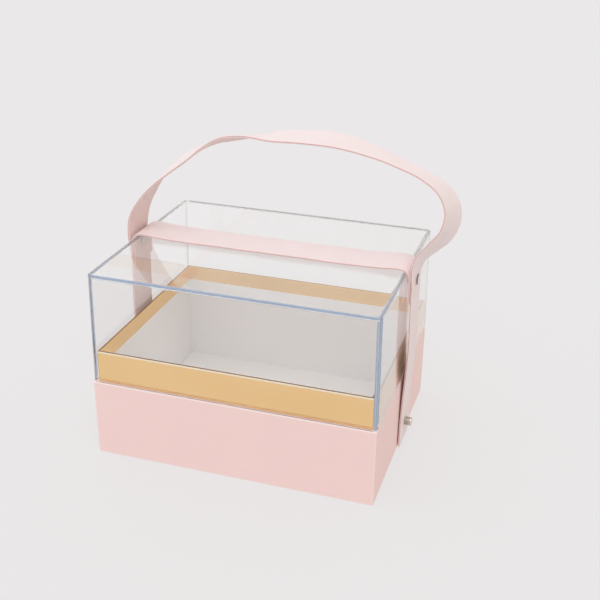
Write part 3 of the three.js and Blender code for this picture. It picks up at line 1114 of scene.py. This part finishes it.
@dataclass(frozen=True)
class Band:
    """A strap's section: flat, a little crowned, with small round edges that carry edge paint.

    Fields:
        width: the strap's width.
        thick: its thickness at the middle.
        edge: the radius of its edges.
        crown: the share of its thickness that it loses towards the edges.
        seam: half the breadth, and the depth, of the glue line's notch.
        seam_depth: how strongly the notch's three points show the glue line.
        columns: the points across a face.
        step: the distance between the sections along a strap.
        wave: the height of the soft waves in its faces.
        waves: the waves' lengths along and across the strap, over two pi, their starts and their shares.
        calm: how the waves fade towards the ends: over this length, from this share of it inwards.
        press: how deep a rivet presses the strap in, and how far from its middle.
    """

    width: float = 35.0
    thick: float = 2.0
    edge: float = 0.45
    crown: float = 0.12
    seam: float = 0.2
    seam_depth: tuple[float, float, float] = (0.3, 1.0, 0.3)
    columns: int = 25
    step: float = 1.5
    wave: float = 0.08
    waves: tuple[tuple[float, float, float, float], ...] = ((11.0, 14.0, 0.0, 1.0), (6.3, -9.0, 1.0, 0.6))
    calm: tuple[float, float] = (25.0, 0.6)
    press: tuple[float, float] = (0.3, 5.5)

    def outline(self) -> tuple[np.ndarray, np.ndarray]:
        """Draws the section round once: the outer face, a painted edge, the inner face, the other edge.

        Each edge is a round corner, the notch of the glue line, and a second round corner.

        Returns:
            One row a point, with its place across and its place through the thickness, outer side
            positive; and how strongly each lies on the glue line.
        """
        half, deep, edge = self.width / 2, self.thick / 2, self.edge
        face = np.linspace(-half + edge, half - edge, self.columns)
        angle = np.linspace(math.pi / 2, 0, 5)
        arc = np.stack([half - edge + edge * np.cos(angle), deep - edge + edge * np.sin(angle)], axis=1)
        notch = np.array([(half, self.seam), (half - self.seam, 0.0), (half, -self.seam)])
        lower = arc[::-1] * (1, -1)
        outer = np.stack([face, np.full_like(face, deep)], axis=1)
        back = np.concatenate([outer, arc[1:], notch, lower[:-1]])
        seam = np.zeros(len(back))
        middle = len(outer) + len(arc) - 1
        seam[middle : middle + 3] = self.seam_depth
        return np.concatenate([back, -back]), np.tile(seam, 2)

    def sweep(self, route: np.ndarray, name: str, presses: Sequence[Sequence[float]] = ()) -> Object:
        """Carries the section along a route.

        The width lies along the route's turned and tipped width direction, made square to the route.
        The outer face rises and falls by a small sum of long waves, as soft leather does, and sinks
        where a rivet presses it.

        Args:
            route: stations of x, y and z, and of the width's turn about the upright axis and its tip, in
                degrees.
            name: the piece's name.
            presses: places of rivets, as x, y and z.

        Returns:
            The strap, with edge paint on its edges and ends, and the back leather, painted warmer as shade,
            on its inner face.
        """
        path = smooth_path(route, self.step)
        place = path[:, :3]
        turn, tip = np.radians(path[:, 3]), np.radians(path[:, 4])
        tangent = np.gradient(place, axis=0)
        tangent /= np.linalg.norm(tangent, axis=1)[:, None]
        width = np.stack([np.sin(turn) * np.cos(tip), np.cos(turn) * np.cos(tip), np.sin(tip)], axis=1)
        width -= np.einsum("ij,ij->i", width, tangent)[:, None] * tangent
        width /= np.linalg.norm(width, axis=1)[:, None]
        outwards = np.cross(tangent, width)
        section, seam = self.outline()
        across, through = section[:, 0][None, :], section[:, 1][None, :]
        run = np.concatenate([[0], np.cumsum(np.linalg.norm(np.diff(place, axis=0), axis=1))])
        crown = 1 - self.crown * np.abs(across / (self.width / 2)) ** 6
        ripple = self.wave * sum(
            share * np.sin(run[:, None] / along + across / over + start)
            for along, over, start, share in self.waves
        )
        rise, calm = self.calm
        ripple *= np.clip(np.minimum(run, run[-1] - run) / rise - calm, 0, 1)[:, None]
        depth = (through * crown + ripple)[..., None]
        points = place[:, None] + across[..., None] * width[:, None] + depth * outwards[:, None]
        sunk, spread = self.press
        for press in presses:
            reach = np.linalg.norm(points - np.array(press), axis=-1)
            sink = sunk * np.exp(-((reach / spread) ** 4)) * np.sign(through)
            points -= sink[..., None] * outwards[:, None]
        girth = np.concatenate([[0], np.cumsum(np.linalg.norm(np.diff(section, axis=0), axis=1))])
        girth = np.append(girth, girth[-1] + self.thick)
        between = (section + np.roll(section, -1, axis=0)) / 2
        on_edge = np.abs(between[:, 0]) > self.width / 2 - self.edge
        kinds = np.where(on_edge, 1, np.where(between[:, 1] > 0, 0, 2))[None, :]
        surface = Surface(
            points,
            capped=True,
            run=run,
            girth=girth,
            marks={"seam": seam[None, :]},
            face_finish=np.repeat(kinds, len(run) - 1, axis=0),
        )
        # The inner face takes the back leather, painted warmer as shade.
        return make_piece(name, surface, [LEATHER, EDGE_PAINT, SHADED_LEATHER_BACK], 60)


@dataclass
class StrapSet:
    """The cross strap and the long strap in three lengths, laid out from their rivets' places.

    Fields:
        band: the section that every strap is cut to.
        seam_z: the height at which the handle loop's length ends and a leg's begins.
        held_z: a height between the seam and the rivet, which keeps the loop straight up to the rivet.
        handle_x: how far out the long strap's middle lies at the rivets.
        cross_bend: the radius at which the cross strap turns down, at its middle.
        cross_turn: the angles at which its bend is drawn, in degrees from level.
        cross_rest: where it lies on the lid, as X and height below its top.
        hole: the radius of the round part of a buttonhole.
        slit: half the breadth of the slit below it.
        slit_drop: how far the slit's end lies below the stud.
        hole_steps: the points round a hole.
        cut: how far from the box's middle the cut through a leg begins and ends.
    """

    band: Band = field(default_factory=Band)
    seam_z: float = 143.0
    held_z: float = 152.0
    handle_x: float = 129.0
    cross_bend: float = 9.0
    cross_turn: tuple[float, ...] = (90, 68, 45, 22, 0)
    cross_rest: tuple[tuple[float, float], ...] = ((40, 1.7), (80, 1.7), (103, 0.9))
    hole: float = 2.7
    slit: float = 0.35
    slit_drop: float = 8.0
    hole_steps: int = 24
    cut: tuple[float, float] = (110.0, 140.0)

    def __post_init__(self) -> None:
        """Reads the places that the frame gives."""
        self.strap_y, self.rivet_z = node_axis("rivet_cap_right")
        cross_low, cross_high = node_box("cross_strap")
        self.cross_x = cross_high[0] - self.band.thick / 2
        self.cross_end = cross_low[2]
        self.cross_top = cross_high[2] - self.band.thick / 2
        self.leg_end = node_box("strap_leg_right")[0][2]

    def stations(self, line: np.ndarray) -> np.ndarray:
        """Makes a route of a line that stays level across the box.

        Args:
            line: x and z, one row each.

        Returns:
            Stations for Band.sweep.
        """
        level, zero = np.full(len(line), self.strap_y), np.zeros(len(line))
        return np.stack([line[:, 0], level, line[:, 1], zero, zero], axis=1)

    def cross_route(self) -> np.ndarray:
        """Lays the cross strap over the lid, from the left end to the right one.

        Returns:
            Stations for Band.sweep.
        """
        top, side, radius = self.cross_top, self.cross_x, self.cross_bend
        angle = np.radians(self.cross_turn)
        out, up = side - radius + radius * np.cos(angle), top - radius + radius * np.sin(angle)
        bend = np.stack([out, up], axis=1)
        below = [(side, self.rivet_z), (side, (self.rivet_z + self.cross_end) / 2), (side, self.cross_end)]
        half = np.concatenate([[(x, top - down) for x, down in self.cross_rest], bend, below])
        return self.stations(np.concatenate([half[::-1] * (-1, 1), half]))

    def loop_route(self) -> np.ndarray:
        """Stands the handle loop up from the left seam and down to the right one, leaning to the right.

        Returns:
            Stations for Band.sweep, listed as x, y, z, turn and tip.
        """
        y, x = self.strap_y, self.handle_x
        return np.array(
            [
                (-x, y, self.seam_z, 0, 0),
                (-x, y, self.held_z, 0, 0),
                (-x, y, self.rivet_z, 0, 0),
                (-x, y, 171, 2, 0),
                (-126.8, 6.3, 187, 4, -1),
                (-116, 6.2, 207.5, 1, 0),
                (-102.5, 6.1, 224.5, -4, 5),
                (-88, 6.2, 237.5, -7, 7),
                (-72.5, 6.9, 248, -5, 3),
                (-57, 7.7, 257, 0, -7),
                (-40, 8.1, 264, 4, -16),
                (-19.5, 7.5, 268.6, 5, -13),
                (5, 6.6, 271.3, 2, -1),
                (31, 6, 273.2, 2, 3),
                (58.5, 5.7, 272.6, 2, 2),
                (85, 4.8, 267.4, 1, -3),
                (110, 3.8, 259.8, 0, -7),
                (132.5, 3, 251, 0, -8),
                (148, 1.7, 241, 4, -5),
                (155.5, 0.4, 228, 10, -2),
                (155.3, 0, 213, 18, -3),
                (147.6, 1.6, 198, 24, -6),
                (136.2, 4.8, 183, 20, -5),
                (130.4, 6.2, 171, 7, -1),
                (x, y, self.rivet_z, 0, 0),
                (x, y, self.held_z, 0, 0),
                (x, y, self.seam_z, 0, 0),
            ],
            float,
        )

    def leg_route(self, side: Side) -> np.ndarray:
        """Hangs a leg down the side, between the seam and its square end below the stud.

        The left one runs upwards, so that the outer face is on the same side of every route.

        Args:
            side: the end of the box that it is on.

        Returns:
            Stations for Band.sweep.
        """
        hang = [(129.1, 133), (129.4, 120), (129.5, 98), (128.7, 70), (127.4, 42), (126.9, 24)]
        line = np.array([(self.handle_x, self.seam_z), *hang, (126.85, self.leg_end)])
        return self.stations(line * (side.value, 1))[:: side.value]

    def build(self) -> None:
        """Makes the straps and cuts the buttonholes."""
        rivets = [(side.value * self.handle_x, self.strap_y, self.rivet_z) for side in Side]
        adopt(self.band.sweep(self.cross_route(), "lid_cross_strap"), LEATHER, "strap", "cross_strap")
        loop = self.band.sweep(self.loop_route(), "carrying_loop", rivets)
        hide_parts("handle_loop")
        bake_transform(loop)
        log.info("%s stands for handle_loop, from strap to handle", loop.name)
        for side in Side:
            leg = self.band.sweep(self.leg_route(side), f"buttoned_leg_{side.word}")
            self.cut_buttonhole(leg, side)
            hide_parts(f"strap_leg_{side.word}")
            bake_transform(leg)
            log.info("%s stands for strap_leg_%s, from strap to its leg", leg.name, side.word)

    def cut_buttonhole(self, leg: Object, side: Side) -> None:
        """Cuts a round hole for the stud's neck with a slit below it, through one leg.

        Args:
            leg: the leg, as it was swept.
            side: the end of the box that it is on.
        """
        stud_z = node_axis(f"stud_knob_{side.word}")[1]
        opening = math.asin(self.slit / self.hole)
        angle = np.linspace(-math.pi / 2 + opening, 1.5 * math.pi - opening, self.hole_steps)
        ring = self.hole * np.stack([np.cos(angle), np.sin(angle)], axis=1)
        tail = [(-self.slit, -self.slit_drop), (self.slit, -self.slit_drop)]
        outline = np.concatenate([ring, tail]) + (self.strap_y, stud_z)
        ends = [np.insert(outline, 0, side.value * x, axis=1) for x in self.cut]
        points = np.stack(ends)
        cutter = make_piece("buttonhole_cutter", Surface(points, capped=True), [EDGE_PAINT])
        modifier = leg.modifiers.new("buttonhole", "BOOLEAN")
        modifier.operation = "DIFFERENCE"
        modifier.solver = "EXACT"
        modifier.object = cutter
        bpy.context.view_layer.update()
        cut = bpy.data.meshes.new_from_object(leg.evaluated_get(bpy.context.evaluated_depsgraph_get()))
        leg.modifiers.clear()
        leg.data = cut
        bpy.data.objects.remove(cutter)


# ---- hardware


@dataclass
class Rivet:
    """A double-cap rivet: a domed cap with a rolled rim outside, a flat back cap and post inside.

    Fields:
        side: the end of the box that it is on.
        rim: the cap's back, its rolled rim and the groove inside that, as shares of its radius and heights.
        dome: the dome's foot, as the same.
        painted_shade_rows: the first and the last of the cap's rows that are painted dark, as shade and dark
            reflection, from the rim's top to the dome's foot.
        back: the back cap, from its inner face, as shares of its radius and heights.
        post: the post's radius.
        free: how far short of the cap the post ends.
    """

    side: Side
    rim: tuple[tuple[float, float], ...] = (
        (0.0, -0.25), (0.9, -0.25), (0.985, -0.1), (1.0, 0.2), (0.985, 0.48), (0.94, 0.6), (0.905, 0.6)
    )
    dome: tuple[float, float] = (0.9, 0.62)
    painted_shade_rows: tuple[int, int] = (4, 7)
    back: tuple[tuple[float, float], ...] = (
        (0.0, 0.0), (0.8, 0.0), (0.96, 0.14), (1.0, 0.45), (0.97, 0.75), (0.9, 0.9)
    )
    post: float = 1.7
    free: float = 0.05

    def build(self) -> None:
        """Turns the cap and the back cap with its post, and lets them ride with the straps.

        The dome is a quarter of an ellipse from its foot to the axis.
        """
        cap_node = f"rivet_cap_{self.side.word}"
        low, high = node_box(cap_node)
        radius = (high[2] - low[2]) / 2
        cap_spot = TurnedSpot(self.side, "rivet_cap", node_axis(cap_node))
        back_spot = TurnedSpot(self.side, "rivet_post", cap_spot.axis)
        thick, length = cap_spot.span()[1], back_spot.span()[1] - self.free
        foot, rise = self.dome
        share = np.linspace(0, 1, 10)[1:] * math.pi / 2
        dome = np.stack([radius * foot * np.cos(share), rise + (thick - rise) * np.sin(share)], 1)
        dome[-1, 0] = 0.0
        cap = np.concatenate([np.array(self.rim) * (radius, 1), dome])
        row = np.arange(len(cap))
        # The groove inside the rim is painted dark, as painted shade and dark reflection.
        groove = 1.0 * ((row >= self.painted_shade_rows[0]) & (row <= self.painted_shade_rows[1]))
        cap_spot.turn("rivet_dome", cap, RIVET_METAL, "strap", 40, groove)
        post = [(self.post, self.back[-1][1]), (self.post, length), (0.0, length)]
        back = np.concatenate([np.array(self.back) * (radius, 1), post])
        back_spot.turn("rivet_back", back, RIVET_METAL, "strap", 40)


@dataclass
class Stud:
    """A screw-back stud: a neck through the strap and a plain turned head with a bead at each end.

    Fields:
        side: the end of the box that it is on.
        neck: the neck's radius.
        under: the length of the neck, up to the head's underside.
        foot: the small flange against the tray, as further radius and height.
        painted_shade_rows: how strongly the profile's rows, by number, are painted dark as shade under the
            head and between its beads.
    """

    side: Side
    neck: float = 2.3
    under: float = 3.1
    foot: tuple[float, float] = (0.5, 0.25)
    painted_shade_rows: tuple[tuple[int, float], ...] = ((5, 0.6), (6, 0.6), (7, 0.6), (10, 0.5), (11, 0.2))

    def build(self) -> None:
        """Turns the knob, and dresses its screw."""
        node = f"stud_knob_{self.side.word}"
        low, high = node_box(node)
        spot = TurnedSpot(self.side, "stud_knob", node_axis(node))
        radius, length, neck, under = (high[2] - low[2]) / 2, spot.span()[1], self.neck, self.under
        flange, rise = neck + self.foot[0], self.foot[1]
        stem = [(0.0, 0.0), (flange, 0.0), (flange, rise), (neck, 0.45)]
        flare = [(neck, under - 0.2), (neck + 0.2, under)]
        inner_bead = [(0.55, 0.0), (0.15, 0.12), (0.0, 0.4), (0.0, 0.75), (0.22, 0.95)]
        outer_bead = [(0.22, 1.15), (0.0, 0.95), (0.0, 0.5), (0.15, 0.2), (0.5, 0.03), (1.0, 0.0)]
        head = np.array(
            [
                *stem,
                *flare,
                *((radius - inset, under + height) for inset, height in inner_bead),
                *((radius - inset, length - depth) for inset, depth in outer_bead),
                (0.0, length),
            ]
        )
        # Under the head and between the beads is painted dark, as painted shade.
        deep = np.zeros(len(head))
        for row, strength in self.painted_shade_rows:
            deep[row] = strength
        spot.turn("stud_head", head, STUD_METAL, "tray", 28, deep)
        dress(f"stud_screw_{self.side.word}", STUD_METAL)


def weld(piece: Object) -> None:
    """Merges the points that a turned profile puts on its axis, so that its ends are closed.

    Args:
        piece: the turned piece.
    """
    work = bmesh.new()
    work.from_mesh(piece.data)
    bmesh.ops.remove_doubles(work, verts=work.verts, dist=WELD_REACH * MM)
    work.to_mesh(piece.data)
    work.free()


def adopt(piece: Object, finish: Finish, body: str, *nodes: str) -> None:
    """Puts a piece in the place of CAD nodes, on their body.

    Args:
        piece: the finished piece.
        finish: not used.
        body: the CAD body that it moves with.
        nodes: the CAD nodes that it stands for.
    """
    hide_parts(*nodes)
    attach(piece, body)
    log.info("%s stands for %s on %s", piece.name, ", ".join(nodes), body)


def dress(node: str, finish: Finish) -> None:
    """Gives a CAD node, whose shape is right, a finish.

    Args:
        node: the CAD node's name.
        finish: its finish.
    """
    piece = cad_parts[node]
    if not piece.material_slots:
        piece.data.materials.append(finish.material())
    for slot in piece.material_slots:
        slot.material = finish.material()
    log.info("%s is dressed in %s", node, finish.name)


# ---- studio


@dataclass
class Studio:
    """A pale floor, a bright room that is darker and warmer to the right, and a soft lamp high in front.

    Fields:
        lens: the camera's focal length for a 36 mm sensor.
        camera_at: where the camera stands.
        azimuth: its bearing from straight in front, towards +X, in degrees.
        elevation: how far it looks down, in degrees.
        roll: its lean, in degrees.
        sensor: its sensor's width.
        clip: the nearest and the furthest that it sees, in metres.
        floor_colour: the floor's paint.
        left_colour: the room's light from the left.
        right_colour: the room's light from the right.
        turn_from: where the left's light begins to turn to the right's, from -1 at the left to 1.
        room_light: the strength of the room's light.
        lamp_light: the lamp's strength.
        lamp_size: the lamp's breadth as the box sees it, in degrees.
        lamp_from: the direction in which the lamp lies.
        floor_reach: how far the floor reaches each way.
        floor_drop: how far it lies below the box.
    """

    lens: float = 58.1
    camera_at: tuple[float, float, float] = (258.7, -737.1, 490.1)
    azimuth: float = 17.33
    elevation: float = 25.15
    roll: float = 0.81
    sensor: float = 36.0
    clip: tuple[float, float] = (0.01, 100.0)
    floor_colour: str = "#E8E6E7"
    left_colour: str = "#F4F4F4"
    right_colour: str = "#D2CABF"
    turn_from: float = -0.3
    room_light: float = 1.11
    lamp_light: float = 0.65
    lamp_size: float = 40.0
    lamp_from: tuple[float, float, float] = (0.3, -0.55, 1.0)
    floor_reach: float = 9000.0
    floor_drop: float = 0.05

    def place_camera(self) -> None:
        """Stands the camera, aimed by its bearing, its tilt and its slight roll."""
        data = bpy.data.cameras.new("camera")
        data.lens = self.lens
        data.sensor_width = self.sensor
        data.clip_start, data.clip_end = self.clip
        camera = place_object("camera", data)
        a, e, r = (math.radians(v) for v in (self.azimuth, self.elevation, self.roll))
        back = Vector((math.sin(a) * math.cos(e), -math.cos(a) * math.cos(e), math.sin(e)))
        level = (-back).cross(Vector((0, 0, 1))).normalized()
        upright = level.cross(-back)
        right = level * math.cos(r) + upright * math.sin(r)
        up = upright * math.cos(r) - level * math.sin(r)
        turn = Matrix((right, up, back)).transposed().to_4x4()
        camera.matrix_world = Matrix.Translation(Vector(self.camera_at) * MM) @ turn
        bpy.context.scene.camera = camera

    def light(self) -> None:
        """Fills the room with light that changes from left to right, and adds the soft lamp."""
        world = bpy.data.worlds.new("room")
        world.use_nodes = True
        tree = world.node_tree
        tree.nodes.clear()
        ray = add_node(tree, "TexCoord").outputs["Generated"]
        parts = add_node(tree, "SeparateXYZ", {}, {0: ray})
        across = add_node(
            tree, "MapRange", {"From Min": self.turn_from, "From Max": 1.0}, {"Value": parts.outputs["X"]}
        )
        room_colour = add_node(
            tree, "Mix", {"data_type": "RGBA", 6: self.left_colour, 7: self.right_colour}, {0: across}
        )
        room = add_node(tree, "Background", {"Strength": self.room_light}, {"Color": room_colour})
        add_node(tree, "OutputWorld", {}, {"Surface": room})
        bpy.context.scene.world = world
        lamp = bpy.data.lights.new("soft_lamp", "SUN")
        lamp.energy = self.lamp_light
        lamp.angle = math.radians(self.lamp_size)
        holder = place_object("soft_lamp", lamp)
        holder.rotation_mode = "QUATERNION"
        holder.rotation_quaternion = Vector(self.lamp_from).to_track_quat("Z", "Y")

    def lay_floor(self) -> None:
        """Lays a pale painted floor, wide enough that its edge is out of sight."""
        corners = self.floor_reach * np.array([(-1, -1), (1, -1), (1, 1), (-1, 1)])
        mesh = bpy.data.meshes.new("studio_floor")
        points = np.insert(corners, 2, -self.floor_drop, axis=1) * MM
        mesh.from_pydata(points.tolist(), [], [(0, 1, 2, 3)])
        mesh.materials.append(StudioPaint(self.floor_colour).material())
        place_object("studio_floor", mesh)


@dataclass(frozen=True)
class StudioPaint(Finish):
    """Matt studio paint, with a roller's faint texture."""

    colour: str
    name: str = "studio_paint"
    slot: str = ""
    bounce_colour: str = "#DEDAD6"
    glow: float = 0.75
    roller: float = 2.5
    roller_height: float = 0.1

    def shade(self, add: AddNode) -> Node:
        """Makes matt paint that is also lit from below, so that shadows on it stay faint.

        It gives less and warmer light to the pieces than it shows, as a floor under black flags does.

        Args:
            add: adds a node to the material's tree.

        Returns:
            The paint's shader.
        """
        coordinate = add("TexCoord").outputs["Object"]
        texture = add("TexNoise", {"Scale": 1 / (self.roller * MM), "Detail": 2.0}, {"Vector": coordinate})
        bump = add("Bump", {"Strength": 0.05, "Distance": self.roller_height * MM}, {"Height": texture})
        paint = add(
            "BsdfPrincipled", {"Base Color": self.colour, "Roughness": 0.9, "Specular IOR Level": 0.1},
            {"Normal": bump},
        )
        rays = add("LightPath")
        given = add(
            "Mix", {"data_type": "RGBA", 6: self.colour, 7: self.bounce_colour},
            {0: rays.outputs["Is Diffuse Ray"]},
        )
        below = add("Emission", {"Strength": 1.0}, {"Color": given})
        return add("MixShader", {0: self.glow}, {1: paint, 2: below})


def main() -> None:
    """Builds the studio and the box."""
    logging.basicConfig(level=logging.INFO, format="%(name)s: %(message)s")
    bpy.context.scene.view_settings.view_transform = "Standard"
    studio = Studio()
    studio.place_camera()
    studio.light()
    studio.lay_floor()
    Tray().build()
    Collar().build()
    Lid().build()
    StrapSet().build()
    for side in Side:
        Rivet(side).build()
        Stud(side).build()


if __name__ == "__main__":
    main()
